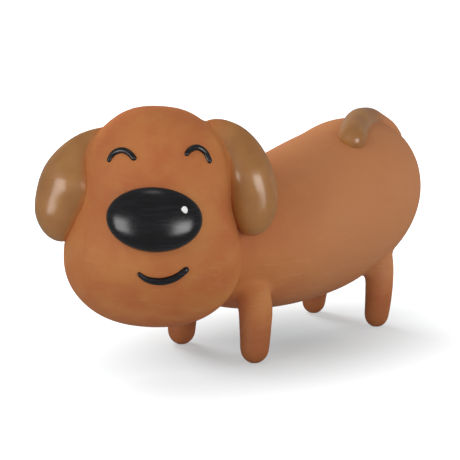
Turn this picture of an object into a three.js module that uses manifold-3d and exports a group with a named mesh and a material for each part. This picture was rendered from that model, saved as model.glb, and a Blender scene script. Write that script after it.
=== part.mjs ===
// A squeaking dog toy of hollow natural latex, which stands on four pegs with its head turned to its left.
// Millimetres, +Z up. The dog walks towards -Y and its left side is +X.
// The floor is at z = 0, and the finished toy is moved so that the middle of its bounding box stands on
// the origin.

import * as THREE from "three";
import { mergeVertices } from "three/addons/utils/BufferGeometryUtils.js";
import Module from "manifold-3d";

const wasm = await Module();
wasm.setup();

const { degToRad, lerp, mapLinear, clamp } = THREE.MathUtils;

// Driving dimensions.

const wall = 2; // of the latex skins
const gap = 0.3; // between neighbours: sections of the moulding, the fibre, the squeaker's pieces

// The pairs give a size at a place along the dog, from its front end to its rear end.
const torso = {
  front: -66,
  rear: 74.7,
  bluntness: 0.62, // 1 gives the ends of an ellipsoid, and less makes them blunter
  halfWidths: [
    [-62, 31.4],
    [-20, 32.5],
    [20, 33.6],
    [75, 40.3],
  ],
  halfHeights: [
    [-62, 33.4],
    [-20, 32.6],
    [20, 37.15],
    [40, 40.3],
    [75, 43.2],
  ],
  centreHeights: [
    [-62, 48.3],
    [-20, 47.4],
    [20, 53.05],
    [40, 57.9],
    [75, 64.3],
  ],
};

// The pairs give a reach at a height above the middle of the head.
const head = {
  ahead: 12.4, // of the torso's front end
  height: 63.2,
  turn: degToRad(47),
  lean: degToRad(3.2),
  halfHeight: 44.8,
  bluntness: 0.75,
  halfWidths: [
    [-44, 41],
    [-28, 40.6],
    [-12, 37],
    [-2, 33.5],
    [8, 31],
    [25, 33.2],
    [44, 31],
  ],
  frontReach: [
    [-44, 25],
    [-18, 32],
    [6, 31],
    [26, 27],
    [44, 25],
  ],
  backReach: [
    [-44, 24],
    [-10, 29],
    [20, 31],
    [44, 28],
  ],
};

// The head nods like a ball in a socket, about a pivot near its middle.
const neck = { pivotAhead: 3, pivotBelow: 5, passageRadius: 15, nod: degToRad(5) };

const leg = {
  footFlat: 0.5,
  hipHeight: 26,
  hipInward: 1.5,
  rootHeight: 38, // the root is moulded into the flank up to here
  swing: degToRad(12),
};
// Where each foot stands, counted along from the torso's end of the same name, how far its hip lies
// behind it and its root inward of it, and the radii from the root down to the foot.
const feet = {
  front: { across: 22, fromEnd: 22.6, hipBehind: 1.8, rootInward: 9, radii: [6.6, 7.3, 6.6, 5.7] },
  rear: { across: 19.1, fromEnd: 33.7, hipBehind: 4.3, rootInward: 4, radii: [7.2, 6.7, 6.1, 5.2] },
};
const footAlong = { front: torso.front + feet.front.fromEnd, rear: torso.rear - feet.rear.fromEnd };

const ear = {
  // The lobe's middle line, from the top to the tip: distance outside the head's side, height above
  // its middle, distance behind its middle.
  line: [
    [-9, 34, 3],
    [-1, 26, 2.6],
    [4.5, 15, 1.4],
    [7.3, 3, 0.5],
    [3.5, -9, 0.5],
  ],
  depthShares: [0.6, 0.5, 0.88, 0.8, 0.9], // front to back over side to side, down the line
  pivotHeight: 31,
  lift: degToRad(14),
};
// The two ears aren't quite a pair: how much higher and further forward each one hangs than the line,
// how much further out at each of the line's points, and its radii.
const ears = {
  left: {
    side: 1,
    higher: 3.2,
    forward: 0.5,
    further: [1.4, 1.2, 1.4, 0.6, -1.2],
    radii: [5.5, 9.8, 10.8, 9.8, 6],
  },
  right: {
    side: -1,
    higher: -2.4,
    forward: 2.5,
    further: [-2.6, -2, -3, -2.4, -1.2],
    radii: [6, 10, 14.2, 12.4, 7],
  },
};

const tail = {
  // The middle line from the root over the back and down the left flank: distance across, distance
  // from the torso's rear end, height above the skin there.
  line: [
    [4.5, 1.9, 0.3],
    [4.2, 9, -0.8],
    [3.3, 18.4, 0],
    [4.5, 28, -1.2],
    [8, 36.2, -2.4],
    [12, 42.9, -1.6],
    [15.3, 47.7, -0.6],
    [18, 51.6, 0.2],
  ],
  radii: [4.6, 4.4, 4.2, 5.6, 6.7, 6.8, 6.6, 6.4],
  lift: degToRad(12),
};

// The painted face, in distances to the dog's left and heights above the middle of the head.
// The tip of the nose hangs lower than the middle of its rim by a drop.
const nose = { across: 18.4, up: 11.9, proud: 8, drop: 4.5, left: -0.15, height: 4.8 };
const glint = { across: 1.3, up: 1.6, proud: 0.5, left: 11, height: 9.1 };

// The raised strokes are given by points and by half widths at even steps.
const eyeRadii = [0.9, 1.2, 1.25, 1.25, 1.1];
const mouthRadii = [0.8, 1.4, 1.65, 1.55, 1.3];
const eyeStrokes = {
  eye_right: [
    [-19.1, 23.8],
    [-17.1, 27.2],
    [-13.8, 28.7],
    [-10.9, 27.8],
    [-8.5, 25.6],
  ],
  eye_left: [
    [10.7, 28],
    [12.3, 30.1],
    [15.2, 31],
    [18.3, 29.1],
    [20.6, 25],
  ],
};
const mouthStroke = [
  [-5.6, -16.9],
  [-2.1, -19.4],
  [3.3, -20.1],
  [8.9, -18.4],
  [13.8, -14.3],
];

const squeaker = {
  ahead: 2.35, // of the torso's middle
  barrelRadius: 7.6,
  barrelWall: 1.4,
  barrelHeight: 9,
  flangeWidth: 2.4, // round the barrel, as the barb's
  flangeThickness: 1.2,
  barbWidth: 1.2,
  barbHeight: 1.6,
  floor: 1.2,
  airHoleRadius: 1.2,
};
const seat = { sink: 4.2, lip: 2.2, bossWidth: 5 };
const cover = { thickness: 1, spigotWall: 0.8, spigotDepth: 1, holes: 6, holeRadius: 0.8, holeCircle: 3.4 };
const reedSeat = { width: 5.6, height: 3, channelWidth: 2.2, channelDepth: 1.6 };
const reedClip = { length: 2.4, bridge: 0.8 };
const reed = { tipShort: 1.4, width: 4, thickness: 0.3 }; // its tip stops short of its seat's far end

// Facets: points round a form and rings along it.

const skinGrid = [36, 24];
const hollowGrid = [24, 16];
const limbGrid = [16, 14];
const tailGrid = [14, 22];
const trimGrid = [20, 10];
const strokeGrid = [8, 12];
const turnedSides = 28;

// Materials.

const finish = (color, roughness) => new THREE.MeshStandardMaterial({ color, roughness, metalness: 0 });
const bareLatex = () => finish(0xb0703f, 0.62);
const lacqueredLatex = () => finish(0x97703d, 0.3);
const blackPaint = () => finish(0x17171a, 0.28);
const whitePaint = () => finish(0xf4f4f0, 0.35);
const fibre = () => finish(0xf1efe8, 0.95);
const whitePlastic = () => finish(0xe9e9e6, 0.45);
const clearFilm = () => finish(0xd5dbe0, 0.25);

// Solids, and the meshes made of them.

function solidOf(geometry) {
  geometry.deleteAttribute("normal");
  geometry.deleteAttribute("uv");
  const merged = mergeVertices(geometry);
  const vertProperties = merged.attributes.position.array;
  const triVerts = new Uint32Array(merged.index.array);
  return new wasm.Manifold(new wasm.Mesh({ numProp: 3, vertProperties, triVerts }));
}

function meshOf(name, solid, material) {
  const { vertProperties, triVerts } = solid.getMesh();
  const geometry = new THREE.BufferGeometry();
  geometry.setAttribute("position", new THREE.BufferAttribute(vertProperties, 3));
  geometry.setIndex(new THREE.BufferAttribute(triVerts, 1));
  geometry.computeVertexNormals();
  const mesh = new THREE.Mesh(geometry, material);
  mesh.name = name;
  return mesh;
}

const placed = (solid, matrix) => solid.transform(matrix.elements);
const joined = (solids) => solids.reduce((all, one) => all.add(one));

// A turn about an axis through a point.
const turn = (point, axis, angle) =>
  new THREE.Matrix4()
    .makeTranslation(point.x, point.y, point.z)
    .multiply(new THREE.Matrix4().makeRotationAxis(axis, angle))
    .multiply(new THREE.Matrix4().makeTranslation(-point.x, -point.y, -point.z));

// All that a solid covers while it turns from one angle to another, in a few steps.
function swept(solid, point, axis, [from, to], steps) {
  const positions = [];
  for (let i = 0; i <= steps; i++)
    positions.push(placed(solid, turn(point, axis, lerp(from, to, i / steps))));
  return joined(positions);
}

// A size that runs smoothly through [place, size] pairs.
function smoothSize(pairs) {
  const samplesPerPair = 12;
  const samples = new THREE.SplineCurve(pairs.map((pair) => new THREE.Vector2(...pair))).getPoints(
    pairs.length * samplesPerPair,
  );
  return (place) => {
    const next = samples.findIndex((sample) => sample.x >= place);
    if (next === 0) return samples[0].y;
    if (next < 0) return samples.at(-1).y;
    const [before, after] = [samples[next - 1], samples[next]];
    return mapLinear(place, before.x, after.x, before.y, after.y);
  };
}

// A ball whose points are moved to where a formula puts them. The formula gets the place between the
// poles, from 1 down to -1, the girth there, from 0 to 1, and the direction out from the poles' line.
function mouldedBall([segments, rings], poles, formula) {
  const geometry = new THREE.SphereGeometry(1, segments, rings);
  if (poles === "z") geometry.rotateX(Math.PI / 2);
  const points = geometry.attributes.position;
  for (let i = 0; i < points.count; i++) {
    const out = new THREE.Vector3().fromBufferAttribute(points, i);
    const pole = clamp(out[poles], -1, 1);
    out[poles] = 0;
    const atPole = out.length() < 1e-3;
    const girth = atPole ? 0 : Math.sqrt(1 - pole ** 2);
    if (atPole) out.set(0, 0, 0);
    points.setXYZ(i, ...formula(pole, girth, out.normalize()));
  }
  return solidOf(geometry);
}

// A lobe round a curve, with round ends. Its radius runs through the radii given at even steps.
function lobe(grid, line, radii, level, depthShares = [1, 1]) {
  const curve = new THREE.CatmullRomCurve3(line);
  const length = curve.getLength();
  const atEvenSteps = (sizes) => smoothSize(sizes.map((size, i) => [i / (sizes.length - 1), size]));
  const radiusAt = atEvenSteps(radii);
  const depthShareAt = atEvenSteps(depthShares);
  return mouldedBall(grid, "y", (pole, girth, out) => {
    const along = (1 - pole) / 2;
    const radius = radiusAt(along);
    const fromEnd = Math.min(1, (Math.min(along, 1 - along) * length) / radius);
    const size = radius * Math.sqrt(1 - (1 - fromEnd) ** 2);
    const ahead = curve.getTangentAt(along);
    const side = level.clone().projectOnPlane(ahead).normalize();
    return curve
      .getPointAt(along)
      .addScaledVector(side, out.x * size * depthShareAt(along))
      .addScaledVector(ahead.cross(side), out.z * size);
  });
}

// A turned piece on the z axis, from its profile's [radius, height] points.
function turned(profile) {
  const points = profile.map((point) => new THREE.Vector2(...point));
  return solidOf(new THREE.LatheGeometry(points, turnedSides).rotateX(Math.PI / 2));
}

// A rod on the z axis between two heights.
const rod = (radius, from, to) =>
  turned([
    [0, from],
    [radius, from],
    [radius, to],
    [0, to],
  ]);

// A block from its lowest to its highest corner.
function block(low, high) {
  const size = high.map((value, i) => value - low[i]);
  const middle = high.map((value, i) => (value + low[i]) / 2);
  return solidOf(new THREE.BoxGeometry(...size).translate(...middle));
}

// The points that the limbs turn about, and the middles of the soles.
const marks = {};

const acrossDog = new THREE.Vector3(1, 0, 0);
const alongDog = new THREE.Vector3(0, 1, 0);

// The torso's form.

const torsoMiddle = (torso.front + torso.rear) / 2;
const torsoHalfLength = (torso.rear - torso.front) / 2;
const torsoHalfWidth = smoothSize(torso.halfWidths);
const torsoHalfHeight = smoothSize(torso.halfHeights);
const torsoCentreHeight = smoothSize(torso.centreHeights);

function torsoForm(margin, grid) {
  return mouldedBall(grid, "y", (pole, girth, out) => {
    const along = torsoMiddle + torsoHalfLength * pole;
    const size = girth ** torso.bluntness;
    return [
      out.x * size * (torsoHalfWidth(along) + margin),
      along + margin * pole,
      torsoCentreHeight(along) + out.z * size * (torsoHalfHeight(along) + margin),
    ];
  });
}

// The height of the back, with a side of 1, or of the belly, with a side of -1.
function skinHeight(across, along, side) {
  const pole = clamp((along - torsoMiddle) / torsoHalfLength, -1, 1);
  const size = (1 - pole ** 2) ** (torso.bluntness / 2);
  const share = clamp(across / (size * torsoHalfWidth(along)), -1, 1);
  return torsoCentreHeight(along) + side * size * torsoHalfHeight(along) * Math.sqrt(1 - share ** 2);
}

const torsoOuter = torsoForm(0, skinGrid);
const torsoClear = torsoForm(gap, skinGrid);

// The head's form, in the head's own frame: x across the face, -y out of the face, z up.

const headWidth = smoothSize(head.halfWidths);
const headFront = smoothSize(head.frontReach);
const headBack = smoothSize(head.backReach);
const headCentre = new THREE.Vector3(0, torso.front - head.ahead, head.height);
const headMatrix = new THREE.Matrix4()
  .makeRotationZ(head.turn)
  .multiply(new THREE.Matrix4().makeRotationY(head.lean))
  .setPosition(headCentre);
const inHead = (solid) => placed(solid, headMatrix);

function headForm(margin, grid) {
  return mouldedBall(grid, "z", (pole, girth, out) => {
    const height = head.halfHeight * pole;
    const size = girth ** head.bluntness;
    const reach = out.y < 0 ? headFront(height) : headBack(height);
    return [
      out.x * size * (headWidth(height) + margin),
      out.y * size * (reach + margin),
      height + margin * pole,
    ];
  });
}

// The point of the face at a distance to the dog's left and a height above the middle of the head.
function onFace(left, height) {
  const size = (1 - clamp(height / head.halfHeight, -1, 1) ** 2) ** (head.bluntness / 2);
  const share = clamp(left / (size * headWidth(height)), -1, 1);
  return new THREE.Vector3(left, -size * headFront(height) * Math.sqrt(1 - share ** 2), height);
}

const headOuter = headForm(0, skinGrid);
const headClear = headForm(gap, skinGrid);

// The neck, on which the head nods.

const neckPivot = headCentre.clone().add(
  new THREE.Vector3(0, -neck.pivotAhead, -neck.pivotBelow),
);
marks.neck = neckPivot;
const nodRange = [-neck.nod, neck.nod];
const headSwept = swept(inHead(headClear), neckPivot, acrossDog, nodRange, 4);
const torsoSwept = swept(torsoClear, neckPivot, acrossDog, nodRange, 4);

// The way for air between the torso and the head.
const neckPassage = placed(
  rod(neck.passageRadius, 0, torsoHalfLength),
  new THREE.Matrix4().makeRotationX(-Math.PI / 2).setPosition(neckPivot),
);

// The squeaker's seat in the belly: a thick ring of latex, with a flat recess under it.

const squeakerAlong = torsoMiddle - squeaker.ahead;
const recessTop = skinHeight(0, squeakerAlong, -1) + seat.sink;
const squeakerMatrix = new THREE.Matrix4().makeTranslation(0, squeakerAlong, recessTop - gap);
const inBelly = (solid) => placed(solid, squeakerMatrix);
const boreRadius = squeaker.barrelRadius - squeaker.barrelWall;
const flangeRadius = squeaker.barrelRadius + squeaker.flangeWidth;
const bossRadius = squeaker.barrelRadius + gap + seat.bossWidth;
const barbBase = gap + seat.lip + gap;
const barrelTop = squeaker.barrelHeight;
const coverBase = barrelTop + gap;
const bellyBoss = inBelly(rod(bossRadius, -seat.sink, gap + seat.lip)).intersect(torsoOuter);
const bellyRecess = inBelly(rod(flangeRadius + gap, -torsoHalfLength, gap));
const bellyBore = inBelly(rod(squeaker.barrelRadius + gap, -torsoHalfLength, torsoHalfLength / 2));
const squeakerRoom = inBelly(rod(bossRadius + gap, -torsoHalfLength, coverBase + cover.thickness + gap));

function torsoSkin() {
  return torsoOuter
    .subtract(torsoForm(-wall, hollowGrid))
    .add(bellyBoss)
    .subtract(bellyRecess)
    .subtract(bellyBore)
    .subtract(headSwept);
}

function torsoFilling() {
  return torsoForm(-wall - gap, hollowGrid).subtract(squeakerRoom).subtract(headSwept);
}

function headSkin() {
  return inHead(headOuter.subtract(headForm(-wall, hollowGrid))).subtract(neckPassage);
}

function headFilling() {
  return inHead(headForm(-wall - gap, hollowGrid));
}

// The squeaker, with its flange's seat at z = 0 and its barrel pointing up into the toy.

function squeakerHousing() {
  const { flangeThickness, barrelRadius, airHoleRadius } = squeaker;
  const cupFloor = squeaker.floor - flangeThickness;
  return turned([
    [airHoleRadius, -flangeThickness],
    [flangeRadius, -flangeThickness],
    [flangeRadius, 0],
    [barrelRadius, 0],
    [barrelRadius, barbBase],
    [barrelRadius + squeaker.barbWidth, barbBase],
    [barrelRadius, barbBase + squeaker.barbHeight],
    [barrelRadius, barrelTop],
    [boreRadius, barrelTop],
    [boreRadius, cupFloor],
    [airHoleRadius, cupFloor],
    [airHoleRadius, -flangeThickness],
  ]);
}

function squeakerCover() {
  const spigotRadius = boreRadius - gap;
  const lid = turned([
    [0, coverBase],
    [spigotRadius - cover.spigotWall, coverBase],
    [spigotRadius - cover.spigotWall, barrelTop - cover.spigotDepth],
    [spigotRadius, barrelTop - cover.spigotDepth],
    [spigotRadius, coverBase],
    [squeaker.barrelRadius, coverBase],
    [squeaker.barrelRadius, coverBase + cover.thickness],
    [0, coverBase + cover.thickness],
  ]);
  const hole = rod(cover.holeRadius, 0, 2 * barrelTop);
  const holes = [];
  for (let i = 0; i < cover.holes; i++) {
    const angle = (i / cover.holes) * 2 * Math.PI;
    const place = [cover.holeCircle * Math.cos(angle), cover.holeCircle * Math.sin(angle), 0];
    holes.push(placed(hole, new THREE.Matrix4().makeTranslation(...place)));
  }
  return lid.subtract(joined(holes));
}

// The reed lies over the channel of its seat, and its root is held under the clip.

const seatBase = squeaker.floor - squeaker.flangeThickness + gap;
const seatTop = seatBase + reedSeat.height;
const seatHalfWidth = reedSeat.width / 2;
const seatHalfLength = Math.sqrt((boreRadius - gap) ** 2 - seatHalfWidth ** 2);
const reedBase = seatTop + gap;
const reedTop = reedBase + reed.thickness;
const clipFront = -seatHalfLength + reedClip.length;
const reedTip = seatHalfLength - reed.tipShort;

function squeakerReedSeat() {
  const channelEnd = reedTip - reed.thickness * 2;
  const channel = block(
    [-reedSeat.channelWidth / 2, clipFront + gap, seatTop - reedSeat.channelDepth],
    [reedSeat.channelWidth / 2, channelEnd, seatTop + gap],
  );
  return block([-seatHalfWidth, -seatHalfLength, seatBase], [seatHalfWidth, seatHalfLength, seatTop])
    .subtract(channel)
    .subtract(rod(reedSeat.channelWidth / 3, 0, seatTop));
}

function squeakerReed() {
  return block([-reed.width / 2, -seatHalfLength, reedBase], [reed.width / 2, reedTip, reedTop]);
}

function squeakerReedClip() {
  const tunnelHalfWidth = reed.width / 2 + gap;
  const tunnelTop = reedTop + gap;
  const tunnel = block(
    [-tunnelHalfWidth, -seatHalfLength - gap, seatTop],
    [tunnelHalfWidth, clipFront + gap, tunnelTop],
  );
  return block(
    [-seatHalfWidth, -seatHalfLength, seatTop + gap],
    [seatHalfWidth, clipFront, tunnelTop + reedClip.bridge],
  ).subtract(tunnel);
}

const reedPivot = new THREE.Vector3(0, squeakerAlong + clipFront, recessTop - gap + reedBase);

// The legs, each swinging on a hip that lies on the body's skin.

function makeLeg(name, side, along, { across, hipBehind, rootInward, radii }) {
  const foot = new THREE.Vector3(side * across, along, -leg.footFlat);
  const knee = new THREE.Vector3(side * across, along + hipBehind / 2, leg.hipHeight / 2);
  const hip = new THREE.Vector3(side * (across - leg.hipInward), along + hipBehind, leg.hipHeight);
  const root = new THREE.Vector3(side * (across - rootInward), along + hipBehind, leg.rootHeight);
  const body = swept(torsoClear, hip, acrossDog, [-leg.swing, leg.swing], 6);
  const reach = 2 * Math.max(...radii);
  const floor = block([foot.x - reach, foot.y - reach, -reach], [foot.x + reach, foot.y + reach, 0]);
  const form = lobe(limbGrid, [root, hip, knee, foot], radii, acrossDog);
  marks[`sole_${name}`] = new THREE.Vector3(foot.x, foot.y, 0);
  return { hinge: hip, solid: form.subtract(floor).subtract(body).subtract(headSwept) };
}

// The ears, each hanging from the head's top corner and lifting sideways from it.

function makeEar({ side, higher, forward, further, radii }) {
  const outAt = (height) => {
    const size = (1 - (height / head.halfHeight) ** 2) ** (head.bluntness / 2);
    return size * headWidth(height);
  };
  const line = ear.line.map(
    ([out, height, behind], i) =>
      new THREE.Vector3(side * (outAt(height) + out + further[i]), behind - forward, height + higher),
  );
  const pivot = new THREE.Vector3(side * outAt(ear.pivotHeight), 0, ear.pivotHeight);
  const form = lobe(limbGrid, line, radii, alongDog, ear.depthShares);
  const solid = inHead(form.subtract(swept(headClear, pivot, alongDog, [0, side * ear.lift], 4)));
  const hinge = pivot.applyMatrix4(headMatrix);
  const axis = alongDog.clone().transformDirection(headMatrix);
  return { hinge, solid: solid.subtract(swept(torsoSwept, hinge, axis, [0, side * ear.lift], 4)) };
}

// The tail, which lifts off the back about its root.

function tailPoint([across, fromRear, above]) {
  const along = torso.rear - fromRear;
  return new THREE.Vector3(across, along, skinHeight(across, along, 1) + above);
}

function makeTail() {
  const hinge = tailPoint(tail.line[0]);
  const body = swept(torsoClear, hinge, acrossDog, [0, tail.lift], 7);
  return { hinge, solid: lobe(tailGrid, tail.line.map(tailPoint), tail.radii, acrossDog).subtract(body) };
}

// The painted face: a dome and strokes that stand on the skin.

function dome({ across, up, proud, drop = 0 }, [left, , height], base) {
  return mouldedBall(trimGrid, "y", (pole, girth, out) => [
    left + out.x * girth * across,
    base + pole * proud,
    height + out.z * girth * up - drop * Math.max(-pole, 0),
  ]);
}

const noseBase = onFace(nose.left, nose.height);
const noseForm = (margin) =>
  dome(
    { across: nose.across + margin, up: nose.up + margin, proud: nose.proud + margin, drop: nose.drop },
    [nose.left, 0, nose.height],
    noseBase.y,
  );

// How far out the nose's surface is at a point of the face, as a share of how proud the nose is.
function noseShare(left, height) {
  const across = (left - nose.left) / nose.across;
  const up = (height - nose.height) / nose.up;
  const fall = nose.drop / nose.up;
  const steep = 1 + fall ** 2;
  const outside = across ** 2 + up ** 2 - 1;
  return (Math.sqrt((fall * up) ** 2 - steep * outside) - fall * up) / steep;
}

function makeGlint() {
  const base = noseBase.y - nose.proud * noseShare(glint.left, glint.height);
  const dot = dome({ ...glint, proud: glint.proud + wall }, [glint.left, 0, glint.height], base + wall / 2);
  return inHead(dot.subtract(noseForm(gap)).subtract(headClear));
}

function makeStroke(points, radii) {
  const line = points.map(([left, height]) => onFace(left, height));
  return inHead(lobe(strokeGrid, line, radii, alongDog).subtract(headClear));
}

// The toy.

const toy = new THREE.Group();

function addPiece(name, solid, material) {
  toy.add(meshOf(name, solid, material));
}

function addLimb(name, { hinge, solid }, material) {
  addPiece(name, solid, material);
  marks[name] = hinge;
}

addPiece("torso_skin", torsoSkin(), bareLatex());
addPiece("torso_filling", torsoFilling(), fibre());
addPiece("head_skin", headSkin(), bareLatex());
addPiece("head_filling", headFilling(), fibre());
for (const [name, shape] of Object.entries(ears)) addLimb(`ear_${name}`, makeEar(shape), lacqueredLatex());
for (const [end, foot] of Object.entries(feet))
  for (const [hand, side] of Object.entries({ left: 1, right: -1 })) {
    const name = `leg_${end}_${hand}`;
    addLimb(name, makeLeg(name, side, footAlong[end], foot), bareLatex());
  }
addLimb("tail", makeTail(), lacqueredLatex());
addPiece("nose", inHead(noseForm(0).subtract(headClear)), blackPaint());
addPiece("nose_glint", makeGlint(), whitePaint());
for (const [name, points] of Object.entries(eyeStrokes))
  addPiece(name, makeStroke(points, eyeRadii), blackPaint());
addPiece("mouth", makeStroke(mouthStroke, mouthRadii), blackPaint());
addPiece("squeaker_housing", inBelly(squeakerHousing()), whitePlastic());
addPiece("squeaker_cover", inBelly(squeakerCover()), whitePlastic());
addPiece("squeaker_reed_seat", inBelly(squeakerReedSeat()), whitePlastic());
addPiece("squeaker_reed_clip", inBelly(squeakerReedClip()), whitePlastic());
addLimb("squeaker_reed", { hinge: reedPivot, solid: inBelly(squeakerReed()) }, clearFilm());

const box = new THREE.Box3().setFromObject(toy, true);
const middle = box.getCenter(new THREE.Vector3());
toy.position.set(-middle.x, -middle.y, -box.min.z);
toy.updateMatrixWorld(true);

const inMetres = (point) => point.clone().add(toy.position).multiplyScalar(0.001).toArray();
for (const [name, point] of Object.entries(marks))
  console.log(name, inMetres(point).map((value) => Number(value.toFixed(5))));

export default toy;
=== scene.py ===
# %% [markdown]
# # A squeaking latex dog
#
# The real toy is one hollow moulding of natural latex. Liquid latex is poured into a plaster mould, a skin
# sets against the plaster, and the toy is peeled out, dipped and painted by hand. So it has soft fillets
# where its legs leave the belly, and no sewn seams. Inside are polyester fibre and a plastic squeaker.
#
# The imported model gives the bodies that move and where each piece is. This scene makes the pieces that show
# in full detail, in the same places. The torso's skin, the fibre and the painted face hang on their bodies.

import math

import bmesh
import bpy
import numpy as np
from mathutils import Matrix, Vector
from mathutils.kdtree import KDTree
from mathutils.noise import fractal


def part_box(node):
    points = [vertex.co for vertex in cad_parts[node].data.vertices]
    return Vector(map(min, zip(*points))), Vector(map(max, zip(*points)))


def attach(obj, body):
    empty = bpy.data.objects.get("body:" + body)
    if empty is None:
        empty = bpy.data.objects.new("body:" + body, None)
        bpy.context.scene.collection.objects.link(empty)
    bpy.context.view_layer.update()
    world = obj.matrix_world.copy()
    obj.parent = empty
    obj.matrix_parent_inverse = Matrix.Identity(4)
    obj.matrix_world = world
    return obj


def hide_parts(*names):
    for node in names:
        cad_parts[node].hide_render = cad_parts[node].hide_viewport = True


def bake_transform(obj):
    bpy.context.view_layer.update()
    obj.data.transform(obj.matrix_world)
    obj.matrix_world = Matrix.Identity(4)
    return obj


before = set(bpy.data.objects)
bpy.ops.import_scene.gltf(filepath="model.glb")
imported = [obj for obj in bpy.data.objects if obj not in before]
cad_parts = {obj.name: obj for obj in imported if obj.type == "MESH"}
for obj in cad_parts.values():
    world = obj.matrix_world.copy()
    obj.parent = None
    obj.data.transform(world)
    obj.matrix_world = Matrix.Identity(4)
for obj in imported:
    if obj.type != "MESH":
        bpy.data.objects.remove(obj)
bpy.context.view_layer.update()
print("packed nodes:", ", ".join(sorted(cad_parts)))

# %% [markdown]
# A mould maker works in millimetres and from the dog's own middle plane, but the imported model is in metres
# and stands on the middle of its bounding box. Every piece here is shaped in the maker's millimetres, and
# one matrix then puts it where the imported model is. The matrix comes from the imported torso: its middle
# across the dog, and its rear end.

# %% The maker's frame
TORSO_FRONT = -66.0
TORSO_REAR = 74.7
WALL = 2.0
GAP = 0.3

torso_low, torso_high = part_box("torso_skin")
toy_origin = Vector(((torso_low.x + torso_high.x) / 2, torso_high.y - TORSO_REAR / 1000, 0))
TO_ROW = Matrix.Translation(toy_origin) @ Matrix.Scale(0.001, 4)
print("the maker's origin in the packed frame, mm:", [round(1000 * v, 2) for v in toy_origin])


def at(point):
    """A point of the maker's frame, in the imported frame."""
    return TO_ROW @ Vector(point)


# %% [markdown]
# ## The forms
#
# Each form swells and narrows smoothly, so its sizes are given at a few places and a Catmull-Rom spline runs
# through them. A ball is the starting mesh: it's closed, it has no seam, and every point of it only has to
# be moved outwards or along. The same few lines then mould the torso, the head, the nose and the fibre.

# %% Smooth sizes
STEPS_PER_SPAN = 24


def spline(knots):
    """Points along a smooth line through the knots."""
    knots = np.array(knots, float)
    padded = np.vstack([knots[:1], knots, knots[-1:]])
    t = np.linspace(0, 1, STEPS_PER_SPAN, endpoint=False)[:, None]
    spans = []
    for before, start, end, after in zip(padded, padded[1:], padded[2:], padded[3:]):
        leaving, arriving = (end - before) / 2, (after - start) / 2
        spans.append(
            (2 * start - 2 * end + leaving + arriving) * t**3
            + (3 * end - 3 * start - 2 * leaving - arriving) * t**2
            + leaving * t
            + start
        )
    return np.vstack([*spans, knots[-1:]])


def smooth_size(pairs):
    """A size as a smooth function of a place, from [place, size] pairs."""
    line = spline(pairs)
    return lambda place: np.interp(place, line[:, 0], line[:, 1])


# %% Moulding a ball
def moulded_ball(segments, rings, formula):
    """A ball whose points a formula moves. It gets the place between the poles, the girth there and the
    direction out from the poles' line, as two numbers."""
    form = bmesh.new()
    bmesh.ops.create_uvsphere(form, u_segments=segments, v_segments=rings, radius=1)
    ball = np.array([v.co for v in form.verts])
    pole = np.clip(ball[:, 2], -1, 1)
    girth = np.sqrt(1 - pole**2)
    out = ball[:, :2] / np.maximum(girth, 1e-6)[:, None]
    for v, place in zip(form.verts, np.column_stack(formula(pole, girth, out[:, 0], out[:, 1]))):
        v.co = place
    bmesh.ops.recalc_face_normals(form, faces=form.faces)
    return form


# %% The torso's form
TORSO_BLUNTNESS = 0.62
torso_half_width = smooth_size([(-62, 31.4), (-20, 32.5), (20, 33.6), (75, 40.3)])
torso_half_height = smooth_size([(-62, 33.4), (-20, 32.6), (20, 37.15), (40, 40.3), (75, 43.2)])
torso_centre_height = smooth_size([(-62, 48.3), (-20, 47.4), (20, 53.05), (40, 57.9), (75, 64.3)])
TORSO_MIDDLE = (TORSO_FRONT + TORSO_REAR) / 2
TORSO_HALF_LENGTH = (TORSO_REAR - TORSO_FRONT) / 2


def torso_form(margin=0.0, segments=96, rings=72):
    def formula(pole, girth, across, up):
        along = TORSO_MIDDLE + TORSO_HALF_LENGTH * pole
        size = girth**TORSO_BLUNTNESS
        return (
            across * size * (torso_half_width(along) + margin),
            along + margin * pole,
            torso_centre_height(along) + up * size * (torso_half_height(along) + margin),
        )

    return moulded_ball(segments, rings, formula)


def skin_height(across, along, side):
    """The height of the back, with a side of 1, or of the belly, with a side of -1."""
    pole = np.clip((along - TORSO_MIDDLE) / TORSO_HALF_LENGTH, -1, 1)
    size = (1 - pole**2) ** (TORSO_BLUNTNESS / 2)
    share = np.clip(across / (size * torso_half_width(along)), -1, 1)
    rise = size * torso_half_height(along) * np.sqrt(1 - share**2)
    return float(torso_centre_height(along) + side * rise)


# %% The head's form
HEAD_CENTRE = Vector((0, TORSO_FRONT - 12.4, 63.2))
HEAD_HALF_HEIGHT = 44.8
HEAD_BLUNTNESS = 0.75
head_half_width = smooth_size([(-44, 41), (-28, 40.6), (-12, 37), (-2, 33.5), (8, 31), (25, 33.2), (44, 31)])
head_front = smooth_size([(-44, 25), (-18, 32), (6, 31), (26, 27), (44, 25)])
head_back = smooth_size([(-44, 24), (-10, 29), (20, 31), (44, 28)])
HEAD_TURN = math.radians(47)
HEAD_LEAN = math.radians(3.2)
# From the head's own frame, with x across the face and -y out of it, to the maker's frame.
HEAD = Matrix.Translation(HEAD_CENTRE) @ Matrix.Rotation(HEAD_TURN, 4, "Z") @ Matrix.Rotation(HEAD_LEAN, 4, "Y")


def head_form(margin=0.0, segments=96, rings=72):
    def formula(pole, girth, across, back):
        height = HEAD_HALF_HEIGHT * pole
        size = girth**HEAD_BLUNTNESS
        reach = np.where(back < 0, head_front(height), head_back(height))
        return (
            across * size * (head_half_width(height) + margin),
            back * size * (reach + margin),
            height + margin * pole,
        )

    form = moulded_ball(segments, rings, formula)
    bmesh.ops.transform(form, matrix=HEAD, verts=form.verts)
    return form


def on_face(left, height):
    """The point of the face at a distance to the dog's left and a height, in the head's own frame."""
    size = (1 - (height / HEAD_HALF_HEIGHT) ** 2) ** (HEAD_BLUNTNESS / 2)
    share = left / (size * head_half_width(height))
    return Vector((left, -float(size * head_front(height) * math.sqrt(1 - share**2)), height))


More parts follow.
